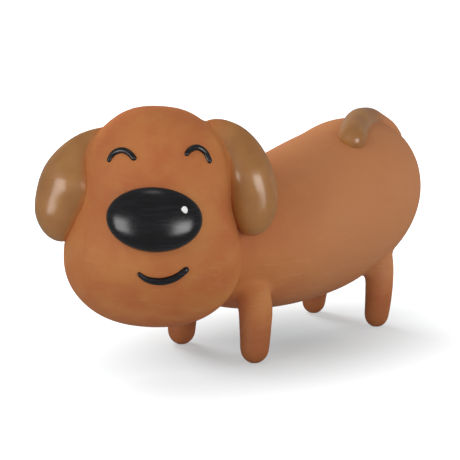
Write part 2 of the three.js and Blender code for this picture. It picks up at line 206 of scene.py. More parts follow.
# %% [markdown]
# The ears, the tail, the legs and the painted strokes are all lobes: a line with a radius that changes along
# it, and round ends. A curve object with a bevel would do, but its ends are flat discs and its radius can't
# round them. Here a ball is threaded onto the line instead, each of its rings taking the radius and the
# direction of the line where it comes to lie.

# %% Lobes
LOOK_AHEAD = 0.5


def at_even_steps(sizes):
    """A size as a smooth function of the share of a line, from sizes at even steps."""
    return smooth_size([(i / (len(sizes) - 1), size) for i, size in enumerate(sizes)])


def lobe(line, radii, level, segments=48, rings=64, depth_shares=(1, 1)):
    """A lobe round a line, with round ends and radii given at even steps. Its depth along level is a share of
    its width, also given at even steps."""
    points = spline(line)
    travelled = np.concatenate([[0], np.cumsum(np.linalg.norm(np.diff(points, axis=0), axis=1))])
    length = travelled[-1]
    radius_at, depth_share_at = at_even_steps(radii), at_even_steps(depth_shares)

    def formula(pole, girth, deep, wide):
        share = (1 - pole) / 2
        radius = radius_at(share)
        from_end = np.minimum(1, np.minimum(share, 1 - share) * length / radius)
        size = radius * np.sqrt(1 - (1 - from_end) ** 2)
        centre = np.column_stack([np.interp(share * length, travelled, points[:, k]) for k in range(3)])
        ahead = np.column_stack(
            [
                np.interp(share * length + LOOK_AHEAD, travelled, points[:, k])
                - np.interp(share * length - LOOK_AHEAD, travelled, points[:, k])
                for k in range(3)
            ]
        )
        ahead /= np.linalg.norm(ahead, axis=1)[:, None]
        flat = np.array(level) - ahead * (ahead @ np.array(level))[:, None]
        flat /= np.linalg.norm(flat, axis=1)[:, None]
        side = np.cross(ahead, flat)
        moved = centre + flat * (deep * size * depth_share_at(share))[:, None] + side * (wide * size)[:, None]
        return moved.T

    return moulded_ball(segments, rings, formula)


# %% The lobes' lines and radii
ACROSS, ALONG = (1, 0, 0), (0, 1, 0)


class Lobe:
    """A limb: its line in the maker's frame, its radii and how deep it is for its width."""

    def __init__(self, line, radii, level, depth_shares=None):
        self.line, self.radii, self.level = line, radii, level
        self.depth_shares = depth_shares or [1] * len(radii)

    def form(self, margin=0.0, **detail):
        radii = [radius + margin for radius in self.radii]
        return lobe(self.line, radii, self.level, depth_shares=self.depth_shares, **detail)

    def root(self, spans, margin):
        """The limb's first spans alone, which the body's fillet is moulded round."""
        return lobe(
            self.line[: spans + 1],
            [radius + margin for radius in self.radii[: spans + 1]],
            self.level,
            depth_shares=self.depth_shares[: spans + 1],
        )


LEG_FOOT_FLAT, LEG_HIP_HEIGHT, LEG_HIP_INWARD = 0.5, 26, 1.5
LEG_ROOT_HEIGHT = 38  # the root reaches up into the torso


def leg_lobe(side, along, across, hip_behind, root_inward, radii):
    line = [
        (side * (across - root_inward), along + hip_behind, LEG_ROOT_HEIGHT),
        (side * (across - LEG_HIP_INWARD), along + hip_behind, LEG_HIP_HEIGHT),
        (side * across, along + hip_behind / 2, LEG_HIP_HEIGHT / 2),
        (side * across, along, -LEG_FOOT_FLAT),
    ]
    return Lobe(line, radii, ACROSS)


FRONT_LEG = {"along": TORSO_FRONT + 22.6, "across": 22, "hip_behind": 1.8, "root_inward": 9}
FRONT_LEG["radii"] = (6.6, 7.3, 6.6, 5.7)
REAR_LEG = {"along": TORSO_REAR - 33.7, "across": 19.1, "hip_behind": 4.3, "root_inward": 4}
REAR_LEG["radii"] = (7.2, 6.7, 6.1, 5.2)
legs = {
    "leg_front_left": leg_lobe(1, **FRONT_LEG),
    "leg_front_right": leg_lobe(-1, **FRONT_LEG),
    "leg_rear_left": leg_lobe(1, **REAR_LEG),
    "leg_rear_right": leg_lobe(-1, **REAR_LEG),
}

# Distance outside the head's side, height above its middle, distance behind its middle. The two ears aren't
# quite a pair, so each is also moved out at each place, forwards and up.
EAR_LINE = [(-9, 34, 3), (-1, 26, 2.6), (4.5, 15, 1.4), (7.3, 3, 0.5), (3.5, -9, 0.5)]
EAR_DEPTH_SHARES = (0.6, 0.5, 0.88, 0.8, 0.9)
EAR_PIVOT_HEIGHT = 31


def head_side(height):
    size = (1 - (height / HEAD_HALF_HEIGHT) ** 2) ** (HEAD_BLUNTNESS / 2)
    return float(size * head_half_width(height))


def ear_lobe(side, further, forward, higher, radii):
    """An ear on the dog's left, with a side of 1, or on its right, with a side of -1."""
    line = [
        HEAD @ Vector((side * (head_side(up) + out + more), behind - forward, up + higher))
        for (out, up, behind), more in zip(EAR_LINE, further)
    ]
    level = HEAD.to_3x3() @ Vector(ALONG)
    return Lobe([tuple(point) for point in line], radii, tuple(level), EAR_DEPTH_SHARES)


ears = {
    "ear_left": ear_lobe(1, (1.4, 1.2, 1.4, 0.6, -1.2), 0.5, 3.2, (5.5, 9.8, 10.8, 9.8, 6)),
    "ear_right": ear_lobe(-1, (-2.6, -2, -3, -2.4, -1.2), 2.5, -2.4, (6, 10, 14.2, 12.4, 7)),
}

# Distance across the back, distance from the rear end, height above the skin there.
TAIL_LINE = [
    (4.5, 1.9, 0.3),
    (4.2, 9, -0.8),
    (3.3, 18.4, 0),
    (4.5, 28, -1.2),
    (8, 36.2, -2.4),
    (12, 42.9, -1.6),
    (15.3, 47.7, -0.6),
    (18, 51.6, 0.2),
]


def tail_point(across, from_rear, above):
    along = TORSO_REAR - from_rear
    return across, along, skin_height(across, along, 1) + above


tail = Lobe([tail_point(*place) for place in TAIL_LINE], (4.6, 4.4, 4.2, 5.6, 6.7, 6.8, 6.6, 6.4), ACROSS)
print("tail runs from", [round(v, 1) for v in tail.line[0]], "to", [round(v, 1) for v in tail.line[-1]])

# %% [markdown]
# ## One skin with soft fillets
#
# In the mould the torso, the head and the legs are one hollow, so their skin has no joint lines, only small
# fillets where one form leaves another. Booleans give a hard crease, and bevelling one is fragile. A voxel
# remesh melts the overlapping forms into one even skin of small quads, and smoothing only near the concave
# creases then rolls them into fillets, as wet latex does. The ears and the tail stay lobes of their own, but
# slightly thinner roots of theirs are melted in, so that the skin swells to meet them.

# %% Melt the forms together
VOXEL = 1.0


def joined(forms):
    """One bmesh that holds copies of several."""
    whole = bmesh.new()
    for form in forms:
        part = bpy.data.meshes.new("part")
        form.to_mesh(part)
        whole.from_mesh(part)
        bpy.data.meshes.remove(part)
        form.free()
    return whole


def with_modifier(form, kind, **settings):
    """The bmesh after one modifier."""
    mesh = bpy.data.meshes.new("work")
    form.to_mesh(mesh)
    form.free()
    work = bpy.data.objects.new("work", mesh)
    bpy.context.scene.collection.objects.link(work)
    modifier = work.modifiers.new(kind, kind)
    for name, value in settings.items():
        setattr(modifier, name, value)
    bpy.context.view_layer.update()
    result = bmesh.new()
    result.from_mesh(work.evaluated_get(bpy.context.evaluated_depsgraph_get()).to_mesh())
    bpy.data.objects.remove(work)
    bpy.data.meshes.remove(mesh)
    return result


def remeshed(forms, voxel):
    return with_modifier(joined(forms), "REMESH", mode="VOXEL", voxel_size=voxel)


ROOT_SHRINK = -0.35
body_forms = [torso_form(), head_form()]
body_forms += [leg.form() for leg in legs.values()]
body_forms += [ear.root(2, ROOT_SHRINK) for ear in ears.values()]
body_forms += [tail.root(1, ROOT_SHRINK)]
skin = remeshed(body_forms, VOXEL)
print("melted skin:", len(skin.faces), "faces")


# %% Roll the creases into fillets
def smooth_rings(form, verts, rounds):
    for _ in range(rounds):
        bmesh.ops.smooth_vert(form, verts=verts, factor=0.5, use_axis_x=True, use_axis_y=True, use_axis_z=True)


def near_creases(form, crease, rings):
    """The points within a few rings of an edge that folds inwards by more than an angle."""
    folded = {v for e in form.edges if e.is_manifold and e.calc_face_angle_signed(0) < -crease for v in e.verts}
    for _ in range(rings):
        folded |= {e.other_vert(v) for v in folded for e in v.link_edges}
    return list(folded)


FILLET_CREASE = math.radians(14)
FILLET_RINGS, FILLET_ROUNDS = 2, 8
EVEN_OUT_ROUNDS = 4
smooth_rings(skin, near_creases(skin, FILLET_CREASE, FILLET_RINGS), FILLET_ROUNDS)
smooth_rings(skin, skin.verts, EVEN_OUT_ROUNDS)
skin.verts.ensure_lookup_table()
print("points near a fillet:", len(near_creases(skin, FILLET_CREASE, 0)))

# %% [markdown]
# ## Cutting the skin at its joints
#
# The toy bends at its neck and at its hips. Each limb's skin becomes a piece of its own, cut from the body
# in a ring round its root. Neighbours share the ring's points, so no gap shows between them. A cut edge would
# show as a fine line if each piece shaded by its own faces, so every piece keeps the whole skin's normals.

# %% The skin's own normals
skin_tree = KDTree(len(skin.verts))
skin_normals = []
for v in skin.verts:
    skin_tree.insert(v.co, v.index)
    skin_normals.append(v.normal.copy())
skin_tree.balance()
SAME_POINT = 1e-4
SHARP_FOLD = math.radians(50)


def finished(name, form, material, body=None, replaces=(), keep_skin_normals=False):
    """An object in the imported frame, from a bmesh in the maker's frame."""
    mesh = bpy.data.meshes.new(name)
    normals = {}
    if keep_skin_normals:
        for i, v in enumerate(form.verts):
            _, index, distance = skin_tree.find(v.co)
            if distance < SAME_POINT:
                normals[i] = skin_normals[index]
    bmesh.ops.transform(form, matrix=TO_ROW, verts=form.verts)
    form.to_mesh(mesh)
    form.free()
    for polygon in mesh.polygons:
        polygon.use_smooth = True
    mesh.set_sharp_from_angle(angle=SHARP_FOLD)
    if normals:
        mesh.normals_split_custom_set([normals.get(loop.vertex_index, (0, 0, 0)) for loop in mesh.loops])
    mesh.materials.append(material)
    piece = bpy.data.objects.new(name, mesh)
    bpy.context.scene.collection.objects.link(piece)
    if body:
        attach(piece, body)
    if replaces:
        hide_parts(*replaces)
    print(f"{name}: {len(mesh.polygons)} faces")
    return piece


# %% [markdown]
# ## Finishes
#
# Shader maths reads best as ordinary sums. The class below wraps a socket, so that 1 - mask or 0.3 * noise
# adds the Math nodes by itself. Everything else, such as a noise or a colour mix, goes through one method.

# %% Sums on sockets
class Wire:
    """A socket of a material's node tree."""

    def __init__(self, tree, socket):
        self.tree, self.socket = tree, socket

    def node(self, kind, settings, inputs, output=0):
        made = self.tree.nodes.new(kind)
        for name, value in settings.items():
            setattr(made, name, value)
        for key, value in inputs.items():
            if isinstance(value, Wire):
                self.tree.links.new(value.socket, made.inputs[key])
            else:
                made.inputs[key].default_value = value
        return Wire(self.tree, made.outputs[output])

    def sum(self, operation, first, second):
        return self.node("ShaderNodeMath", {"operation": operation}, {0: first, 1: second})

    def __add__(self, other):
        return self.sum("ADD", self, other)

    def __sub__(self, other):
        return self.sum("SUBTRACT", self, other)

    def __rsub__(self, other):
        return self.sum("SUBTRACT", other, self)

    def __mul__(self, other):
        return self.sum("MULTIPLY", self, other)

    def __pow__(self, other):
        return self.sum("POWER", self, other)

    __radd__, __rmul__ = __add__, __mul__

    def rise(self, low, high):
        """0 below low, 1 above high, and smooth between."""
        limits = {"Value": self, "From Min": low, "From Max": high}
        return self.node("ShaderNodeMapRange", {"interpolation_type": "SMOOTHSTEP"}, limits)

    def noise(self, size_mm, detail=2.0, stretch=(1, 1, 1), roughness=0.5):
        """Noise at a grain size in millimetres, where self is a place in metres."""
        scale = [1000 / size_mm / s for s in stretch]
        place = self.node("ShaderNodeMapping", {}, {"Vector": self, "Scale": scale})
        inputs = {"Vector": place, "Scale": 1.0, "Detail": detail, "Roughness": roughness}
        return self.node("ShaderNodeTexNoise", {}, inputs)

    def blend(self, under, over):
        """Colour under where self is 0, and over where it is 1."""
        inputs = {"Factor": self, 6: under, 7: over}
        return self.node("ShaderNodeMix", {"data_type": "RGBA"}, inputs, output=2)

    def axis(self, name):
        """One coordinate of a place, in metres."""
        return self.node("ShaderNodeSeparateXYZ", {}, {"Vector": self}, output="XYZ".index(name))

    def bump(self, height_mm, strength=1.0):
        """A normal from self as a height, where 1 is height_mm."""
        inputs = {"Height": self, "Distance": height_mm / 1000, "Strength": strength}
        return self.node("ShaderNodeBump", {}, inputs)


class Finish:
    """A material with one Principled shader. Its constants are set on the shader's own sockets."""

    def __init__(self, name, **constants):
        self.material = bpy.data.materials.new(name)
        self.material.use_nodes = True
        tree = self.material.node_tree
        self.shader = tree.nodes["Principled BSDF"]
        for socket, value in constants.items():
            self.shader.inputs[socket.replace("_", " ")].default_value = value
        self.place = Wire(tree, tree.nodes.new("ShaderNodeTexCoord").outputs["Object"])

    def feed(self, socket, wire):
        wire.tree.links.new(wire.socket, self.shader.inputs[socket])

    def attribute(self, name):
        return self.place.node("ShaderNodeAttribute", {"attribute_name": name}, {}, output=2)


def paint(red, green, blue):
    """A colour as it is read off a screen, from 0 to 255, as the linear values that a shader takes."""
    shares = [value / 255 for value in (red, green, blue)]
    return (*[v / 12.92 if v < 0.04045 else ((v + 0.055) / 1.055) ** 2.4 for v in shares], 1)


# %% [markdown]
# ### Bare and lacquered latex
#
# Bare latex is matte and a little dusty. Its orange-brown isn't even: it has cloudy and golden patches, pale
# brushed streaks low on the cheeks and the flank and a faded rear half, and painted shade darkens its feet. The
# ears and the tail carry an olive-brown lacquer, sprayed on, so it fades out over a few millimetres at their
# roots. The bodies share one material, and a value stored on each point says how much lacquer it carries.

# %% The latex
LACQUER = "lacquer"
latex = Finish("latex", IOR=1.5, Specular_IOR_Level=0.35, Coat_Roughness=0.2, Coat_IOR=1.5)
clouds = latex.place.noise(24, detail=4).rise(0.38, 0.64)
golden = latex.place.noise(15, detail=5, stretch=(1, 1.6, 1), roughness=0.6).rise(0.45, 0.7)
grain = latex.place.noise(1.6, detail=4)
bare = clouds.blend(paint(189, 115, 61), paint(182, 103, 55))
bare = (0.45 * golden).blend(bare, paint(196, 134, 72))
height = latex.place.axis("Z")
rubbed = latex.place.noise(12, detail=5, stretch=(1, 1, 0.16), roughness=0.62).rise(0.54, 0.8)
low_down = 1 - height.rise(0.03, 0.062)
faded = latex.place.axis("Y").rise(-0.045, 0.03) * height.rise(0.012, 0.028) * 0.75
bare = faded.blend(bare, paint(190, 128, 84))
scuffs = rubbed * (0.12 + 0.3 * low_down)
bare = scuffs.blend(bare, paint(205, 150, 106))
# Painted shade: the legs darken towards the floor, fully below 8 mm and not at all above 26 mm.
painted_foot_shade = (1 - height.rise(0.008, 0.026)) * 0.7
bare = painted_foot_shade.blend(bare, paint(150, 84, 46))
specks = grain.rise(0.66, 0.8) * 0.35
bare = specks.blend(bare, paint(150, 84, 45))
olive = latex.place.noise(12, detail=4).rise(0.3, 0.75).blend(paint(170, 118, 64), paint(154, 102, 52))
pits = latex.place.noise(2.4, detail=2).rise(0.72, 0.78) * 0.5
olive = pits.blend(olive, paint(84, 60, 36))
lacquer = latex.attribute(LACQUER)
latex.feed("Base Color", lacquer.blend(bare, olive))
latex.feed("Roughness", 0.6 + 0.1 * grain - 0.28 * lacquer)
latex.feed("Coat Weight", 0.8 * lacquer)
skin_height_map = 0.4 * grain + 0.6 * latex.place.noise(6, detail=3)
latex.feed("Normal", skin_height_map.bump(0.12, strength=0.35))

# %% The paints
THICK_COAT = {"Coat_Weight": 1, "Coat_Roughness": 0.26, "Coat_IOR": 1.5}
black = Finish("black_paint", IOR=1.5, Specular_IOR_Level=0.15, **THICK_COAT)
strokes = black.place.noise(2.2, detail=5, stretch=(5, 5, 0.5), roughness=0.6)
black.feed("Base Color", strokes.rise(0.45, 0.8).blend(paint(9, 9, 13), paint(30, 30, 38)))
black.feed("Roughness", 0.22 + 0.2 * strokes.rise(0.4, 0.75))
black.feed("Normal", strokes.bump(0.1, strength=0.4))

white = Finish("white_paint", IOR=1.5, Coat_Weight=0.5, Coat_Roughness=0.1)
white_grain = white.place.noise(0.8, detail=3)
white.feed("Base Color", white_grain.rise(0.3, 0.8).blend(paint(252, 252, 250), paint(236, 236, 230)))
white.feed("Roughness", 0.3 + 0.1 * white_grain)

# %% The fibre and the squeaker's plastics
fibre = Finish("fibre", IOR=1.45, Sheen_Weight=0.4)
strands = fibre.place.noise(1.1, detail=6, stretch=(1, 3, 1), roughness=0.7)
tufts = fibre.place.noise(7, detail=3)
fibre.feed("Base Color", tufts.rise(0.3, 0.75).blend(paint(246, 244, 238), paint(224, 220, 210)))
fibre.feed("Roughness", 0.9 + 0.1 * strands)
fibre.feed("Normal", (0.6 * strands + 0.8 * tufts).bump(1.0, strength=0.8))

plastic = Finish("squeaker_plastic", IOR=1.5)
plastic_clouds = plastic.place.noise(5, detail=3)
turned = plastic.place.noise(0.6, detail=2)
plastic.feed("Base Color", plastic_clouds.rise(0.3, 0.7).blend(paint(236, 236, 232), paint(224, 225, 220)))
plastic.feed("Roughness", 0.38 + 0.12 * plastic_clouds)
plastic.feed("Normal", turned.bump(0.03, strength=0.5))

film = Finish("reed_film", IOR=1.55)
film_streaks = film.place.noise(0.7, detail=3, stretch=(1, 6, 1))
film.feed("Base Color", film_streaks.rise(0.3, 0.7).blend(paint(216, 222, 226), paint(196, 204, 210)))
film.feed("Roughness", 0.18 + 0.12 * film_streaks)
for part in ("housing", "cover", "reed_seat", "reed_clip", "reed"):
    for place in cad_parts["squeaker_" + part].material_slots:
        place.material = film.material if part == "reed" else plastic.material

# %% [markdown]
# How much lacquer a point carries follows from how near it is to an ear's or the tail's own lobe, and from
# how far along the lobe it lies: none at the very root, and all of it from a third of the way along an ear
# and from half-way along the tail.

# %% Where the lacquer is
BARE_CREASE = (0.3, 1.8)
LACQUER_EDGE = (1.04, 1.22)  # as shares of the lobe's radius
FAR_AWAY = 9.0


def smooth_step(value, low, high):
    t = np.clip((value - low) / (high - low), 0, 1)
    return t * t * (3 - 2 * t)


def lacquer_of(points, limb, fade, spans):
    """The lacquer that a limb's first spans give to points in the maker's frame. It fades in along the limb
    over the two shares given."""
    line = spline(limb.line)
    travelled = np.concatenate([[0], np.cumsum(np.linalg.norm(np.diff(line, axis=0), axis=1))])
    share = travelled / travelled[-1]
    radius = at_even_steps(limb.radii)(share)
    near = np.full(len(points), FAR_AWAY)
    along = np.zeros(len(points))
    last = spans * STEPS_PER_SPAN + 1
    for centre, r, place in zip(line[:last], radius[:last], share[:last]):
        ratio = np.linalg.norm(points - centre, axis=1) / r
        closer = ratio < near
        near[closer], along[closer] = ratio[closer], place
    return (1 - smooth_step(near, *LACQUER_EDGE)) * smooth_step(along, *fade)


def off_the_head(points):
    """How far points in the maker's frame are outside the head, in millimetres."""
    own = points @ np.array(HEAD.to_3x3()) - np.array(HEAD.to_3x3().transposed() @ HEAD_CENTRE)
    size = (1 - np.clip(own[:, 2] / HEAD_HALF_HEIGHT, -0.999, 0.999) ** 2) ** (HEAD_BLUNTNESS / 2)
    reach = np.where(own[:, 1] < 0, head_front(own[:, 2]), head_back(own[:, 2]))
    share = np.hypot(own[:, 0] / head_half_width(own[:, 2]), own[:, 1] / reach) / size
    return (share - 1) * np.hypot(own[:, 0], own[:, 1]) / np.maximum(share, 0.01)


def add_lacquer(piece, limbs, fade=(0.02, 0.3), spans=9, bare_crease=None):
    """Stores the lacquer on each point of a piece. It starts at the first distance from the head given by
    bare_crease, in millimetres, and is whole at the second."""
    points = np.array([v.co for v in piece.data.vertices])
    points = (points - np.array(toy_origin)) * 1000
    most = np.zeros(len(points))
    for limb in limbs:
        most = np.maximum(most, lacquer_of(points, limb, fade, spans))
    if bare_crease:
        most *= smooth_step(off_the_head(points), *bare_crease)
    stored = piece.data.attributes.new(LACQUER, "FLOAT", "POINT")
    stored.data.foreach_set("value", most.astype(np.float32))


# %% [markdown]
# ### Cutting out the pieces
#
# A piece is the faces that lie within its region, given a wall of latex inwards. The ring round a limb's
# root is where a bend of the limb would start, so its furthest point along the limb is measured, not guessed.

# %% Pieces of the skin
face_centres = np.array([f.calc_center_median() for f in skin.faces])
skin.faces.ensure_lookup_table()
taken = np.zeros(len(face_centres), bool)


def cut_out(inside):
    """A copy of the skin's faces inside a region, not taken yet, as an open sheet."""
    global taken
    chosen = inside & ~taken
    taken = taken | chosen
    piece = skin.copy()
    piece.faces.ensure_lookup_table()
    unwanted = [piece.faces[i] for i in np.flatnonzero(~chosen)]
    bmesh.ops.delete(piece, geom=unwanted, context="FACES")
    return piece


def walled(sheet):
    """A sheet of skin with its wall inwards."""
    bmesh.ops.solidify(sheet, geom=sheet.faces[:], thickness=WALL)
    return sheet


def bends(sheet, away, over):
    """Where a limb's bending starts and ends, along the direction away from the body."""
    ring = [v.co.dot(away) for v in sheet.verts if v.is_boundary]
    edge = max(ring)
    middle = sum((v.co for v in sheet.verts if v.is_boundary), Vector()) / len(ring)
    start = middle + away * (edge - middle.dot(away))
    return start, start + away * over


# %% The legs
LEG_REGION_RADIUS = 10.5
LEG_REGION_ABOVE_HIP = 8
LEG_BEND = 9
LEG_OUTWARD, LEG_DOWNWARD = 0.42, 0.9  # the direction away from the belly


def leg_region(leg, away):
    hip, foot = Vector(leg.line[1]), Vector(leg.line[3])
    offset = face_centres - np.array(hip)
    along = offset @ np.array(away)
    radial = np.linalg.norm(offset - along[:, None] * np.array(away), axis=1)
    below = face_centres[:, 2] < leg.line[2][2]
    close = np.linalg.norm((face_centres - np.array(foot))[:, :2], axis=1) < LEG_REGION_RADIUS
    return (radial < LEG_REGION_RADIUS) & (along > -LEG_REGION_ABOVE_HIP) | (below & close)


leg_pieces = {}
for name, leg in legs.items():
    side = 1 if name.endswith("left") else -1
    away = Vector((side * LEG_OUTWARD, 0, -LEG_DOWNWARD)).normalized()
    sheet = cut_out(leg_region(leg, away))
    start, end = bends(sheet, away, LEG_BEND)
    solid = walled(sheet)
    for v in solid.verts:
        v.co.z = max(v.co.z, 0)
    piece = finished(name + "_latex", solid, latex.material, None, [name], True)
    add_lacquer(piece, [])
    leg_pieces[name] = (piece, start, end)
    print(name, "bends from", [round(v, 1) for v in start], "to", [round(v, 1) for v in end])

# %% [markdown]
# The squeaker is pushed into the belly from outside. The skin is thicker there, in a round boss that reaches
# inwards: a recess takes the squeaker's flange, and a bore above it takes its barrel. Booleans with three
# cylinders make it, because the seat is a plain turned shape and meets the skin in crisp edges.

# %% The squeaker's seat
SQUEAKER_AHEAD = 2.35
SEAT_SINK = 4.2
BOSS_RADIUS, RECESS_RADIUS, BORE_RADIUS = 12.9, 10.3, 7.9
BOSS_RISE = 2.2
BOSS_UNDER_SKIN = 0.1
squeaker_along = TORSO_MIDDLE - SQUEAKER_AHEAD
seat_height = skin_height(0, squeaker_along, -1) + SEAT_SINK


def post(radius, low, high):
    """An upright cylinder over the squeaker's place, between two heights."""
    form = bmesh.new()
    size = {"radius1": radius, "radius2": radius, "depth": high - low}
    bmesh.ops.create_cone(form, cap_ends=True, segments=64, **size)
    bmesh.ops.translate(form, vec=(0, squeaker_along, (low + high) / 2), verts=form.verts)
    return form


def with_boolean(form, operation, other):
    """A closed form joined with another, cut by it, or kept only inside it."""
    mesh = bpy.data.meshes.new("other")
    other.to_mesh(mesh)
    other.free()
    tool = bpy.data.objects.new("other", mesh)
    bpy.context.scene.collection.objects.link(tool)
    result = with_modifier(form, "BOOLEAN", operation=operation, object=tool, solver="EXACT")
    bpy.data.objects.remove(tool)
    bpy.data.meshes.remove(mesh)
    return result


def seated(torso):
    """The torso's skin with the boss, the recess and the bore."""
    boss = post(BOSS_RADIUS, seat_height - GAP - SEAT_SINK, seat_height + BOSS_RISE)
    boss = with_boolean(boss, "INTERSECT", torso_form(-BOSS_UNDER_SKIN))
    torso = with_boolean(torso, "UNION", boss)
    torso = with_boolean(torso, "DIFFERENCE", post(RECESS_RADIUS, 0, seat_height))
    return with_boolean(torso, "DIFFERENCE", post(BORE_RADIUS, 0, seat_height + 2 * BOSS_RISE))


# %% The head and the torso
# The plane of the crease between them, and how far behind and in front of it the neck bends.
NECK_MIDDLE = Vector((4, -53.5, 49.6))
NECK_FORWARD = Vector((0.147, -0.976, 0.161)).normalized()
NECK_BEND_BEHIND, NECK_BEND_AHEAD = 3, 10

ahead = (face_centres - np.array(NECK_MIDDLE)) @ np.array(NECK_FORWARD)
head_sheet = cut_out(ahead > -NECK_BEND_BEHIND)
head_solid = walled(head_sheet)
head_piece = finished("head_latex", head_solid, latex.material, None, ["head_skin"], True)
add_lacquer(head_piece, ears.values(), spans=2, bare_crease=BARE_CREASE)

torso_sheet = cut_out(np.ones(len(face_centres), bool))
torso_solid = seated(walled(torso_sheet))
torso_piece = finished("torso_latex", torso_solid, latex.material, "torso", ["torso_skin"], True)
add_lacquer(torso_piece, [])

# %% [markdown]
# When the dog nods, its left ear comes close to the flank, and on the real toy it lies flat against it. So
# the ear's points are moved out of the torso, and of where the torso comes to be for the ear in each nod.

# %% The ears and the tail
NECK_PIVOT = HEAD_CENTRE + Vector((0, -3, -5))
NOD_STEPS = (-5.5, -2.5, 0, 2.5, 5.5)
EAR_CLEARANCE = 1.6


def clear_of_torso(form):
    """Presses a form of the head flat where the torso would meet it as the head nods."""
    for nod in NOD_STEPS:
        turn = Matrix.Rotation(math.radians(nod), 4, "X")
        about_neck = Matrix.Translation(NECK_PIVOT) @ turn @ Matrix.Translation(-NECK_PIVOT)
        and_back = about_neck.inverted()
        for v in form.verts:
            place = about_neck @ v.co
            pole = (place.y - TORSO_MIDDLE) / TORSO_HALF_LENGTH
            if abs(pole) >= 1:
                continue
            size = (1 - pole**2) ** (TORSO_BLUNTNESS / 2)
            half_width = size * float(torso_half_width(place.y)) + EAR_CLEARANCE
            half_height = size * float(torso_half_height(place.y)) + EAR_CLEARANCE
            above_centre = place.z - float(torso_centre_height(place.y))
            share = math.hypot(place.x / half_width, above_centre / half_height)
            if share < 1:
                place.x /= share
                place.z += above_centre * (1 / share - 1)
                v.co = and_back @ place
    return form


ear_pieces = {}
for name, ear in ears.items():
    form = clear_of_torso(ear.form())
    piece = finished(name + "_latex", form, latex.material, None, [name])
    add_lacquer(piece, [ear], bare_crease=BARE_CREASE)
    ear_pieces[name] = piece

tail_piece = finished("tail_latex", tail.form(rings=96), latex.material, None, ["tail"])
add_lacquer(tail_piece, [tail], fade=(0.2, 0.5))

# %% [markdown]
# ## The painted face
#
# The nose is a moulded dome under thick black paint. Its tip hangs a little lower than the middle of its rim,
# so the lamps show low on it. The eyes and the mouth are beads of the same paint laid with a fine brush, so
# they stand up from the skin and catch the light along their crown.

# %% The nose
NOSE = {"across": 18.4, "up": 11.9, "proud": 8, "left": -0.15, "height": 4.8, "drop": 4.5}
GLINT = {"across": 1.3, "up": 1.6, "proud": 0.5, "left": 11, "height": 9.1}
nose_base = on_face(NOSE["left"], NOSE["height"])


def dome(across, up, proud, left, height, base, drop=0.0, segments=96, rings=64):
    form = moulded_ball(
        segments,
        rings,
        lambda pole, girth, x, z: (
            left + x * girth * across,
            base - pole * proud,
            height + z * girth * up - drop * np.maximum(pole, 0),
        ),
    )
    bmesh.ops.transform(form, matrix=HEAD, verts=form.verts)
    return form


def nose_share(left, height):
    """How far out the nose's surface is at a point of the face, as a share of how proud the nose is."""
    across = (left - NOSE["left"]) / NOSE["across"]
    up = (height - NOSE["height"]) / NOSE["up"]
    fall = NOSE["drop"] / NOSE["up"]
    steep = 1 + fall**2
    outside = across**2 + up**2 - 1
    return (math.sqrt((fall * up) ** 2 - steep * outside) - fall * up) / steep


finished("nose_paint", dome(base=nose_base.y, **NOSE), black.material, "head", ["nose"])
glint_base = nose_base.y - NOSE["proud"] * nose_share(GLINT["left"], GLINT["height"])
glint = dome(base=glint_base, segments=32, rings=24, **GLINT)
finished("glint_paint", glint, white.material, "head", ["nose_glint"])

# %% The eyes and the mouth
EYE_RADII = (0.9, 1.2, 1.25, 1.25, 1.1)
MOUTH_RADII = (0.8, 1.4, 1.65, 1.55, 1.3)
strokes_of_paint = {
    "eye_right": ([(-19.1, 23.8), (-17.1, 27.2), (-13.8, 28.7), (-10.9, 27.8), (-8.5, 25.6)], EYE_RADII),
    "eye_left": ([(10.7, 28), (12.3, 30.1), (15.2, 31), (18.3, 29.1), (20.6, 25)], EYE_RADII),
    "mouth": ([(-5.6, -16.9), (-2.1, -19.4), (3.3, -20.1), (8.9, -18.4), (13.8, -14.3)], MOUTH_RADII),
}
for name, (points, radii) in strokes_of_paint.items():
    bead = lobe([tuple(on_face(*point)) for point in points], radii, ALONG, segments=24, rings=64)
    bmesh.ops.transform(bead, matrix=HEAD, verts=bead.verts)
    finished(name + "_paint", bead, black.material, "head", [name])

# %% [markdown]
# ## The fibre inside
#
# Loose polyester fibre keeps the thin skin in shape. It is one soft lump that follows the wall, with a
# dimpled surface, and a hollow where the squeaker sits.

# %% The fibre
DIMPLE_DEPTH, DIMPLE_SIZE, DIMPLE_OCTAVES = 1.6, 7, 4
FIBRE_SLACK = 0.4
FIBRE_INSIDE = -(WALL + GAP) - FIBRE_SLACK


def lumpy(form):
    """Pushes the points of a form inwards by noise, up to a depth."""
    for v in form.verts:
        bumps = fractal(v.co / DIMPLE_SIZE, 1.0, 2.0, DIMPLE_OCTAVES)
        v.co -= v.normal * DIMPLE_DEPTH * (0.5 + 0.5 * bumps)
    return form


_, squeaker_high = (1000 * (corner - toy_origin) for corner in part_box("squeaker_cover"))
squeaker_room = post(BOSS_RADIUS + GAP, 0, squeaker_high.z + GAP)
torso_lump = with_boolean(lumpy(torso_form(FIBRE_INSIDE, 128, 96)), "DIFFERENCE", squeaker_room)
head_lump = lumpy(head_form(FIBRE_INSIDE, 96, 72))
torso_fibre = finished("torso_fibre", torso_lump, fibre.material, "torso", ["torso_filling"])
head_fibre = finished("head_fibre", head_lump, fibre.material, "head", ["head_filling"])
